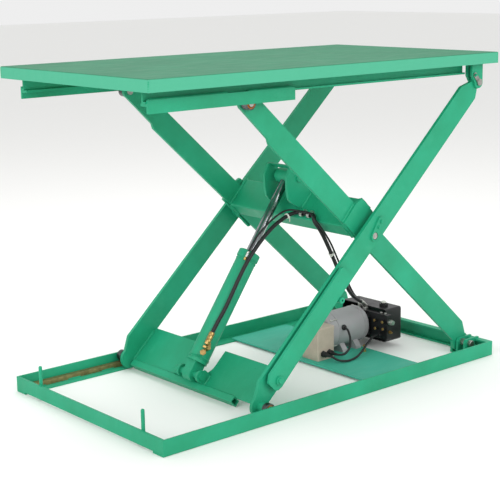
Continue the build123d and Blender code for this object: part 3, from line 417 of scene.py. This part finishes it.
def hose_length(name, points, radius, material, sides=14):
    """One length of hose: a tube swept along its points with closed ends."""
    mesh = bmesh.new()
    tangent = (points[1] - points[0]).normalized()
    normal = tangent.orthogonal().normalized()
    rings = []
    for i, point in enumerate(points):
        ahead = points[min(i + 1, len(points) - 1)]
        behind = points[max(i - 1, 0)]
        tangent = (ahead - behind).normalized()
        normal = (normal - tangent * normal.dot(tangent)).normalized()
        side = tangent.cross(normal)
        ring = []
        for k in range(sides):
            angle = 2 * math.pi * k / sides
            ring.append(mesh.verts.new(point + (normal * math.cos(angle)
                                                + side * math.sin(angle)) * radius))
        rings.append(ring)
    for lower, upper in zip(rings, rings[1:]):
        for k in range(sides):
            after = (k + 1) % sides
            mesh.faces.new((lower[k], lower[after], upper[after], upper[k]))
    mesh.faces.new(reversed(rings[0]))
    mesh.faces.new(rings[-1])
    data = bpy.data.meshes.new(name)
    mesh.to_mesh(data)
    mesh.free()
    piece = bpy.data.objects.new(name, data)
    bpy.context.scene.collection.objects.link(piece)
    piece.data.materials.append(material)
    smooth(piece, 40)
    return piece


def nearest(points, place):
    """The index of the route point nearest a place."""
    place = Vector(place)
    return min(range(len(points)), key=lambda i: (points[i] - place).length)


CLIP_X = 107.06
CLIP_Z = 567.5
DRAIN_X = 96.19
DRAIN_Z = 574.9
PRESSURE_ROUTE = [(-275.8, -34.4, 171), (-235.3, -34.4, 228.1), (-199, -42, 279), (-128, -46, 398),
                  (-66, -50, 472), (0, -52, 526), (50, -54, 550), (80, -54, 561),
                  (CLIP_X, -68, CLIP_Z), (CLIP_X, -90, CLIP_Z), (CLIP_X, -126, CLIP_Z),
                  (CLIP_X, -148, CLIP_Z), (89, -164, 552), (112, -174, 518), (150, -168, 462),
                  (184, -160, 410), (226, -146, 350), (282, -120, 296), (352, -82, 232),
                  (457.2, -26.2, 178.8), (479.6, -16.1, 165.4)]
DRAIN_ROUTE = [(-100, -34, 436), (-86, -36, 462), (-50, -37, 506), (0, -42, 545), (44, -49, 571),
               (72, -58, 579), (DRAIN_X, -74, DRAIN_Z), (DRAIN_X, -110, DRAIN_Z),
               (DRAIN_X, -146, DRAIN_Z), (79, -172, 566), (102, -191, 528), (144, -186, 478),
               (176, -179, 430), (214, -165, 378), (262, -138, 331), (322, -94, 288),
               (384, -54, 236), (440, -16, 200), (482, 16, 184), (502, 26, 176), (502, 26, 152)]


def metres(*point):
    """A place given in millimetres."""
    return Vector(point) / 1000


def hose(name, route, radius, node, breaks):
    """A hose made in three lengths along the barrel, arms and base."""
    points = smooth_route(route)
    lift, clip = nearest(points, breaks[0]), nearest(points, breaks[1])
    lengths = (("lower", points[:lift + 1], "barrel", "outer_arms"),
               ("middle", points[lift:clip + 1], "outer_arms", "inner_arms"),
               ("upper", points[clip:], "inner_arms", "base"))
    for part, stretch, first, second in lengths:
        piece = hose_length(f"{name}_{part}", stretch, radius, rubber)
        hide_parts(node)
        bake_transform(piece)
    return points


pressure_line = hose("pressure_hose", PRESSURE_ROUTE, 0.00675, "pressure_hose",
                     (metres(-128, -46, 398), metres(CLIP_X, -90, CLIP_Z)))
drain_line = hose("drain_hose", DRAIN_ROUTE, 0.00325, "drain_hose",
                  (metres(-50, -37, 506), metres(DRAIN_X, -110, DRAIN_Z)))


def ferrule(name, line, from_start, radius, length, body, material):
    """A crimped sleeve on the end of a hose, with three crimp grooves."""
    end = line[0] if from_start else line[-1]
    inward = (line[3] - line[0]) if from_start else (line[-4] - line[-1])
    profile = [(radius * 0.92, 0)]
    grooves = 3
    for groove in range(grooves):
        low = length * (groove + 0.15) / grooves
        high = length * (groove + 0.75) / grooves
        profile += [(radius, low), (radius, high), (radius * 0.9, high + length * 0.06),
                    (radius * 0.9, high + length * 0.09)]
    profile.append((radius * 0.92, length))
    piece = turned(profile, 24)
    smooth(piece, 30)
    return settle(piece, name, body, material, facing(end, inward))


ferrule("pressure_ferrule_foot", pressure_line, True, 0.0096, 0.038, "barrel", brass)
ferrule("pressure_ferrule_pump", pressure_line, False, 0.0096, 0.034, "base", zinc)
ferrule("drain_ferrule_rod", drain_line, True, 0.005, 0.02, "barrel", zinc)
ferrule("drain_ferrule_pump", drain_line, False, 0.005, 0.02, "base", zinc)


# --- ties and clips -------------------------------------------------------------------------
def nylon_block(size, place, edge):
    """A small moulded block of this size at this place, with softened edges."""
    clear_selection()
    bpy.ops.mesh.primitive_cube_add(size=1, location=place)
    block = bpy.context.object
    bpy.ops.transform.resize(value=size, center_override=block.location)
    bpy.ops.object.transform_apply(location=True, rotation=False, scale=True)
    bevel(block, edge)
    return block


def tie(name, line, at, radius, body):
    """A nylon tie drawn round a hose: a flat band with its square head and cut tail."""
    i = nearest(line, at)
    along = (line[min(i + 1, len(line) - 1)] - line[max(i - 1, 0)]).normalized()
    band = turned([(radius * 0.96, 0), (radius + 0.0011, 0.0004), (radius + 0.0011, 0.0042),
                   (radius * 0.96, 0.0046)], 28)
    head = nylon_block((0.0046, 0.0068, 0.0054), (radius + 0.002, 0, 0.0023), 0.0008)
    tail = nylon_block((0.0012, 0.016, 0.0036), (radius + 0.004, 0.010, 0.0023), 0.0003)
    piece = join([band, head, tail])
    smooth(piece)
    return settle(piece, name, body, white_nylon,
                  facing(line[i], along) @ Matrix.Rotation(math.radians(200), 4, "Z"))


tie("hose_tie_arm", pressure_line, metres(66, -54, 556), 0.0085, "inner_arms")
tie("hose_tie_drop", pressure_line, metres(172, -163, 427), 0.0085, "inner_arms")


# --- weld beads -----------------------------------------------------------------------------
def outer_place(u, n, y):
    """A world place from millimetres along and across the outer arms, at width y."""
    return OUTER @ (Vector((u, n, -y)) / 1000)


def inner_place(u, n, y):
    """A world place from millimetres along and across the inner arms, at width y."""
    return INNER @ (Vector((u, n, -y)) / 1000)


channel_ends = []
for hand in (-1, 1):
    width = hand * 293
    channel_ends.append((inner_place(-80.5, -26, width), inner_place(-80.5, 84, width)))
    channel_ends.append((inner_place(-78, -30.5, width), inner_place(-20, -30.5, width)))
    channel_ends.append((inner_place(-78, 86.5, width), inner_place(-20, 86.5, width)))
beads("channel_weld", channel_ends, "inner_arms", 0.006)

ear_lines = []
for hand in (-1, 1):
    for width in (hand * 51.5, hand * 62.5):
        ear_lines.append((inner_place(-80.5, 8, width), inner_place(-80.5, 75, width)))
beads("ear_weld", ear_lines, "inner_arms", 0.005)

hub_lines = []
for hand in (-1, 1):
    width = hand * 306.5
    hub_lines.append((inner_place(-107, -28, width), inner_place(-107, 46, width)))
    hub_lines.append((inner_place(-100, -30.5, width), inner_place(56, -33.5, width)))
beads("hub_weld", hub_lines, "inner_arms", 0.005)

cross_lines = []
for hand in (-1, 1):
    width = hand * 345
    cross_lines.append((outer_place(-560, -13.5, width), outer_place(-686, -13.5, width)))
cross_lines.append((outer_place(-690, -13.5, -220), outer_place(-690, -13.5, -60)))
cross_lines.append((outer_place(-690, -13.5, 60), outer_place(-690, -13.5, 333)))
beads("cross_plate_weld", cross_lines, "outer_arms", 0.0055)

clevis_lines = []
for hand in (-1, 1):
    clevis_lines.append((outer_place(-692, -13.5, hand * 56.5), outer_place(-650, -13.5, hand * 56.5)))
beads("clevis_weld", clevis_lines, "outer_arms", 0.005)

UNDER_DECK = 1085.5        # millimetres: a bead's centre below the deck sheet
BEAM_INSIDE = 318.5
BEAM_OUTSIDE = 338
beam_lines = []
for hand in (-1, 1):
    for start in range(-690, 600, 215):
        beam_lines.append((metres(start, hand * BEAM_INSIDE, UNDER_DECK),
                           metres(start + 70, hand * BEAM_INSIDE, UNDER_DECK)))
        beam_lines.append((metres(start + 40, hand * (BEAM_OUTSIDE - 1), UNDER_DECK),
                           metres(start + 110, hand * (BEAM_OUTSIDE - 1), UNDER_DECK)))
    beam_lines.append((metres(-708, hand * BEAM_OUTSIDE, 1028), metres(-420, hand * BEAM_OUTSIDE, 1028)))
    beam_lines.append((metres(-340, hand * BEAM_OUTSIDE, 1028), metres(-160, hand * BEAM_OUTSIDE, 1028)))
beads("beam_weld", beam_lines, "platform", 0.0045)

stiffener_lines = []
for middle in (-640, -430, 80, 520):
    for hand in (-1, 1):
        stiffener_lines.append((metres(middle - 20.5, hand * 305, UNDER_DECK),
                                metres(middle - 20.5, hand * 190, UNDER_DECK)))
        stiffener_lines.append((metres(middle + 20.5, hand * 120, UNDER_DECK),
                                metres(middle + 20.5, 0, UNDER_DECK)))
beads("stiffener_weld", stiffener_lines, "platform", 0.004)

pan_low, pan_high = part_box("deck_pan")
corner_lines = []
for end in (pan_low.x, pan_high.x):
    for flank in (pan_low.y, pan_high.y):
        inset = Vector((math.copysign(0.0022, end), math.copysign(0.0022, flank), 0))
        corner_lines.append((Vector((end, flank, pan_low.z + 0.001)) - inset,
                             Vector((end, flank, pan_high.z - 0.004)) - inset))
beads("pan_corner_weld", corner_lines, "platform", 0.003, green)

base_lines = []
for hand in (-1, 1):
    base_lines.append((metres(-736.5, hand * 405.5, 8), metres(-736.5, hand * 405.5, 50)))
    base_lines.append((metres(736.5, hand * 405.5, 8), metres(736.5, hand * 405.5, 50)))
    base_lines.append((metres(-735.5, hand * 372, 6.5), metres(-735.5, hand * 404, 6.5)))
    for start in range(-700, -280, 140):
        base_lines.append((metres(start, hand * 385.5, 6.5), metres(start + 50, hand * 385.5, 6.5)))
    for start in range(190, 430, 110):
        base_lines.append((metres(start, hand * 378.5, 6.5), metres(start + 40, hand * 378.5, 6.5)))
beads("base_weld", base_lines, "base", 0.004)

bracket_lines = []
for hand in (-1, 1):
    for width in (368, 336.5):
        bracket_lines.append((metres(654, hand * width, 1085), metres(706, hand * width, 1085)))
beads("bracket_weld", bracket_lines, "platform", 0.005)


# --- pins, keepers, rollers -----------------------------------------------------------------
def bolt_head(name, place, direction, across, body, material=zinc):
    """A hexagon head over its plain washer."""
    washer = turned([(across * 0.92, 0), (across, 0.0003), (across, 0.0013), (across * 0.92, 0.0016)], 24)
    head = hexagon(across * 1.45, across * 0.62)
    head.data.transform(Matrix.Translation((0, 0, 0.0016)))
    piece = join([washer, head])
    smooth(piece, 30)
    return settle(piece, name, body, material, facing(place, direction))


for side_name, hand in (("near", -1), ("far", 1)):
    outward = Vector((0, hand, 0))
    for i, (u, n) in enumerate(((30, 10), (50, 15))):
        bolt_head(f"keeper_bolt_{side_name}_{i}", outer_place(u, n, hand * 364.2), outward, 0.0065,
                  "outer_arms", green)
    domed = turned([(0.0118, 0), (0.0118, 0.0012), (0.0105, 0.0024), (0.004, 0.0026)], 32)
    smooth(domed, 40)
    settle(domed, f"centre_pin_face_{side_name}", "outer_arms", bright,
           facing(outer_place(0, 0, hand * 360), outward))
    for level, body_pin, y_face, faces, place in (
            ("lower", "outer_arms", 405, (0.404, 0.3845), Vector((LOW_ROLLER.x, 0, LOW_ROLLER.z))),
            ("upper", "inner_arms", 334, (0.3335, 0.3085), Vector((LOW_ROLLER.x, 0, HIGH_PIVOT.z)))):
        face = Vector((place.x, hand * y_face / 1000, place.z))
        ring = turned([(0.0075, 0), (0.0098, 0.0002), (0.0098, 0.0010), (0.0075, 0.0012)], 28)
        smooth(ring, 40)
        settle(ring, f"{level}_axle_face_{side_name}", body_pin, bright,
               facing(face, outward))
        for end, face_y, looking in (("outer", faces[0], outward), ("inner", faces[1], -outward)):
            bush = turned([(0.0124, 0), (0.0155, 0), (0.0152, 0.0004), (0.0126, 0.0005)], 32)
            smooth(bush, 40)
            settle(bush, f"{level}_bush_{side_name}_{end}", f"{level}_roller_{side_name}", bronze,
                   facing(Vector((place.x, hand * face_y, place.z)), looking))
    bolt_head(f"lower_keeper_bolt_{side_name}", metres(709, hand * 356.2, 30), outward, 0.006, "base",
              green)
    bolt_head(f"upper_keeper_bolt_{side_name}", HIGH_PIVOT + metres(-22, hand * 371.7, 26), outward,
              0.0055, "platform", green)
for i, width in enumerate((74, 92)):
    bolt_head(f"cylinder_keeper_bolt_{i}", outer_place(-674.5, 0, width), OUTER.col[1].to_3d(), 0.006,
              "outer_arms", green)


# --- cylinder -------------------------------------------------------------------------------
def cylinder_place(distance, across=0.0, y=0.0):
    """A world place in metres along the cylinder, across it, and at width y."""
    return CYLINDER @ Vector((distance, across, -y))


foot_ring = turned([(0.0352, 0), (0.0372, 0.0012), (0.0372, 0.0034), (0.0355, 0.0048), (0.0372, 0.0062),
                    (0.0368, 0.0084), (0.0352, 0.0096)], 56)
smooth(foot_ring, 50)
settle(foot_ring, "foot_cap_weld", "barrel", green, facing(cylinder_place(0.052), along_rod))
neck_ring = turned([(0.0352, 0), (0.0366, 0.0008), (0.0366, 0.0030), (0.0352, 0.0038)], 56)
smooth(neck_ring, 50)
settle(neck_ring, "gland_lock_ring", "barrel", green,
       facing(cylinder_place(0.4205), along_rod))
wiper = turned([(0.0154, 0), (0.0215, 0.0002), (0.0205, 0.0030), (0.0165, 0.0046), (0.0154, 0.0046)], 48)
smooth(wiper, 40)
settle(wiper, "rod_wiper", "barrel", black_plastic, facing(cylinder_place(0.456), along_rod))
for quarter in range(4):
    turn = math.radians(45 + 90 * quarter)
    hole = turned([(0.0026, 0), (0.0030, 0.0004), (0.0028, 0.0009)], 16)
    settle(hole, f"gland_spanner_plug_{quarter}", "barrel", black_plastic,
           facing(cylinder_place(0.4562, 0.029 * math.cos(turn), 0.029 * math.sin(turn)), along_rod))
drain_start = drain_line[3] - drain_line[0]
drain_stub = turned([(0.0052, 0), (0.0062, 0.0004), (0.0062, 0.009), (0.0050, 0.0094), (0.0042, 0.0130)], 6)
smooth(drain_stub, 25)
settle(drain_stub, "drain_stub", "barrel", brass,
       facing(drain_line[0] - drain_start.normalized() * 0.012, drain_start))
PORT_TURN = math.radians(36)
port_side = CYLINDER.to_3x3() @ Vector((0, math.sin(PORT_TURN), math.cos(PORT_TURN)))
for i, distance in enumerate((0.090, 0.104)):
    nut = hexagon(0.0165, 0.009)
    smooth(nut, 25)
    settle(nut, f"elbow_nut_{i}", "barrel", brass,
           facing(cylinder_place(distance) + port_side * 0.0425, along_rod))
banjo = hexagon(0.019, 0.006)
smooth(banjo, 25)
settle(banjo, "elbow_head", "barrel", brass,
       facing(cylinder_place(0.074) + port_side * 0.0495, port_side))

# --- power unit -----------------------------------------------------------------------------
motor_low, motor_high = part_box("motor_body")
motor_middle = Vector((0, (motor_low.y + motor_high.y) / 2, motor_high.z - 0.066))


def motor_place(x, around=0.0, radius=0.0):
    """A place on the motor, this far along it, at an angle from its top towards the near side."""
    return Vector((x, motor_middle.y - radius * math.sin(around), motor_middle.z + radius * math.cos(around)))


for i, (x, width) in enumerate(((0.3235, 0.005), (0.4545, 0.004))):
    hoop = turned([(0.0655, 0), (0.0675, 0.0006), (0.0675, width - 0.0006), (0.0655, width)], 64)
    smooth(hoop, 40)
    settle(hoop, f"motor_hoop_{i}", "base", grey, facing(motor_place(x), (1, 0, 0)))
for i in range(4):
    angle = math.radians(45 + 90 * i)
    rod = turned([(0.0024, 0), (0.0024, 0.030), (0.0046, 0.0301), (0.0046, 0.0345), (0.0036, 0.0352)], 12)
    smooth(rod, 30)
    settle(rod, f"motor_tie_rod_{i}", "base", zinc,
           facing(motor_place(0.3260, angle, 0.0690), (-1, 0, 0)))
lug = turned([(0.009, 0), (0.0105, 0.0015), (0.0105, 0.006), (0.0085, 0.0075), (0.0055, 0.0080),
              (0.0055, 0.0125), (0.0040, 0.0130)], 24)
smooth(lug, 35)
settle(lug, "motor_lead_boss", "base", black_plastic,
       facing(Vector((0.345, motor_middle.y - 0.0635, 0.106)), (0, -1, 0.28)))
for i, (x, y) in enumerate(((0.352, -0.038), (0.352, 0.068), (0.421, -0.038), (0.421, 0.068))):
    bolt_head(f"motor_foot_bolt_{i}", Vector((x, y, 0.0212)), (0, 0, 1), 0.0065, "base")

box_low, box_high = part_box("terminal_box_lid")
for i, (side_x, side_y) in enumerate(((0, 0), (0, 1), (1, 0), (1, 1))):
    place = Vector((box_low.x + 0.0085 + side_x * (box_high.x - box_low.x - 0.017),
                    box_low.y + 0.0085 + side_y * (box_high.y - box_low.y - 0.017), box_high.z - 0.0021))
    screw = turned([(0.0032, 0), (0.0034, 0.0010), (0.0024, 0.0020), (0.0012, 0.0021)], 16)
    smooth(screw, 40)
    settle(screw, f"box_screw_{i}", "base", zinc, facing(place, (0, 0, 1)))
for i, x in enumerate((0.222, 0.252)):
    for j, (depth, size) in enumerate(((0.0005, 0.0125), (0.0115, 0.0108))):
        ring = turned([(size * 0.92, 0), (size, 0.0005), (size, 0.0040), (size * 0.9, 0.0048)],
                      10 if j else 6)
        smooth(ring, 20)
        settle(ring, f"gland_nut_{i}_{j}", "base", black_plastic,
               facing(Vector((x, -0.069 - depth, 0.036)), NEAR))
    sleeve = turned([(0.0062, 0), (0.0058, 0.006), (0.0048, 0.012), (0.0046, 0.018)], 20)
    smooth(sleeve, 40)
    settle(sleeve, f"gland_sleeve_{i}", "base", black_plastic,
           facing(Vector((x, -0.089, 0.036)), NEAR))

block_low, block_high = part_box("pump_block")
tank_low, tank_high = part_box("oil_tank")


def valve(name, place, direction, profile, material, sides=28):
    """A turned valve or plug screwed into the pump block."""
    piece = turned(profile, sides)
    smooth(piece, 30)
    return settle(piece, name, "base", material, facing(place, direction))


coil_place = Vector((0.5025, block_low.y + 0.0005, 0.112))
valve("lowering_valve_tube", coil_place, NEAR,
      [(0.010, 0), (0.010, 0.012), (0.0085, 0.0121), (0.0085, 0.020)], zinc)
for i, (y, z) in enumerate(((-0.030, 0.118), (-0.036, 0.060), (-0.094, 0.058), (0.050, 0.064))):
    valve(f"block_cartridge_{i}", Vector((block_low.x, y, z)), (-1, 0, 0),
          [(0.0115, 0), (0.0120, 0.0006), (0.0120, 0.0050), (0.0095, 0.0056), (0.0095, 0.0105),
           (0.0080, 0.0118)],
          black_enamel, 6 if i % 2 else 24)
for i, (y, z) in enumerate(((-0.072, 0.112), (-0.112, 0.112), (-0.076, 0.082), (-0.114, 0.086))):
    valve(f"plug_socket_{i}", Vector((block_low.x - 0.0088, y, z)), (-1, 0, 0),
          [(0.0034, 0), (0.0056, 0.0003), (0.0050, 0.0016), (0.0024, 0.0018)], brass, 24)
for i, y in enumerate((-0.108, -0.088, 0.062)):
    valve(f"block_top_screw_{i}", Vector((0.502, y, block_high.z - 0.0002)), (0, 0, 1),
          [(0.0048, 0), (0.0050, 0.0006), (0.0050, 0.0046), (0.0032, 0.0050)], zinc, 20)
valve("bypass_screw", Vector((0.5025, block_low.y + 0.0005, 0.074)), NEAR,
      [(0.006, 0), (0.006, 0.007), (0.0038, 0.0071), (0.0038, 0.014)], brass, 6)
SCREW_INSET = 0.014
for i, (y, z) in enumerate((
        (tank_low.y + SCREW_INSET, tank_low.z + SCREW_INSET),
        (tank_high.y - SCREW_INSET, tank_low.z + SCREW_INSET),
        (tank_low.y + SCREW_INSET, tank_high.z - SCREW_INSET),
        (tank_high.y - SCREW_INSET, tank_high.z - SCREW_INSET))):
    valve(f"tank_screw_{i}", Vector((tank_high.x - 0.0002, y, z)), (1, 0, 0),
          [(0.0050, 0), (0.0052, 0.0006), (0.0052, 0.0040), (0.0034, 0.0044)], zinc, 6)
cap_low, cap_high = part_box("filler_cap")
cap_middle = (cap_low + cap_high) / 2
valve("filler_breather", Vector((cap_middle.x, cap_middle.y, cap_high.z - 0.0002)), (0, 0, 1),
      [(0.0085, 0), (0.0092, 0.0008), (0.0092, 0.0050), (0.0070, 0.0064), (0.0030, 0.0066)], white_nylon,
      32)
valve("oil_level_plug", Vector((tank_high.x - 0.0002, cap_middle.y, 0.100)), (1, 0, 0),
      [(0.0110, 0), (0.0115, 0.0006), (0.0115, 0.0036), (0.0075, 0.0040), (0.0070, 0.0052)],
      zinc, 28)
valve("drain_tap", Vector((0.4075, -0.094, 0.012)), (0, 0, 1),
      [(0.0072, 0), (0.0076, 0.0006), (0.0076, 0.0070), (0.0048, 0.0074), (0.0048, 0.0190),
       (0.0066, 0.0194), (0.0066, 0.0250), (0.0040, 0.0258)], brass, 6)

# --- safety bar -----------------------------------------------------------------------------
bar_boss = turned([(0.0150, 0), (0.0152, 0.0006), (0.0152, 0.0020), (0.0095, 0.0024), (0.0095, 0.0075),
                   (0.0080, 0.0088), (0.0030, 0.0090)], 36)
smooth(bar_boss, 35)
settle(bar_boss, "bar_pivot_cap", "outer_arms", green,
       facing(Vector((BAR_PIVOT.x, -0.3826, BAR_PIVOT.z)), NEAR))


# --- camera, light and floor ----------------------------------------------------------------
CAMERA_PLACE = Vector((-2.8017, -3.2356, 1.3701))
CAMERA_TURN = math.radians(40.335)     # from +Y towards +X
CAMERA_DIP = math.radians(12.26)
CAMERA_ROLL = math.radians(-0.857)
CAMERA_LENS = 91.66

camera_data = bpy.data.cameras.new("camera")
camera_data.lens = CAMERA_LENS
camera_data.sensor_width = 36
camera = bpy.data.objects.new("camera", camera_data)
bpy.context.scene.collection.objects.link(camera)
camera.matrix_world = (Matrix.Translation(CAMERA_PLACE)
                       @ Matrix.Rotation(-CAMERA_TURN, 4, "Z")
                       @ Matrix.Rotation(math.radians(90) - CAMERA_DIP, 4, "X")
                       @ Matrix.Rotation(CAMERA_ROLL, 4, "Z"))
bpy.context.scene.camera = camera
bpy.context.scene.view_settings.view_transform = "Standard"

clear_selection()
bpy.ops.mesh.primitive_plane_add(size=60, location=(0, 0, -0.0005))
floor = bpy.context.object
floor.name = "floor"
floor_material, _, floor_shader, _ = start_material("pale_floor")
floor_shader.inputs["Base Color"].default_value = tone("#f4f4f2")
floor_shader.inputs["Roughness"].default_value = 0.9
floor.data.materials.append(floor_material)

world = bpy.data.worlds.new("studio")
world.use_nodes = True
world.node_tree.nodes["Background"].inputs["Color"].default_value = (1, 1, 1, 1)
world.node_tree.nodes["Background"].inputs["Strength"].default_value = 0.86
bpy.context.scene.world = world


def softbox(name, place, aim, size, power):
    """One large soft lamp."""
    lamp = bpy.data.lights.new(name, "AREA")
    lamp.shape = "RECTANGLE"
    lamp.size, lamp.size_y = size
    lamp.energy = power
    holder = bpy.data.objects.new(name, lamp)
    bpy.context.scene.collection.objects.link(holder)
    holder.matrix_world = facing(place, Vector(place) - Vector(aim))


softbox("left_softbox", (-5.0, -1.5, 2.6), (0, 0, 0.5), (3, 2.5), 105)
softbox("front_softbox", (0.5, -5.0, 2.8), (0, 0, 0.5), (3.5, 2.5), 95)
softbox("top_softbox", (0.5, 1.0, 4.5), (0, 0, 0.5), (3, 3), 80)
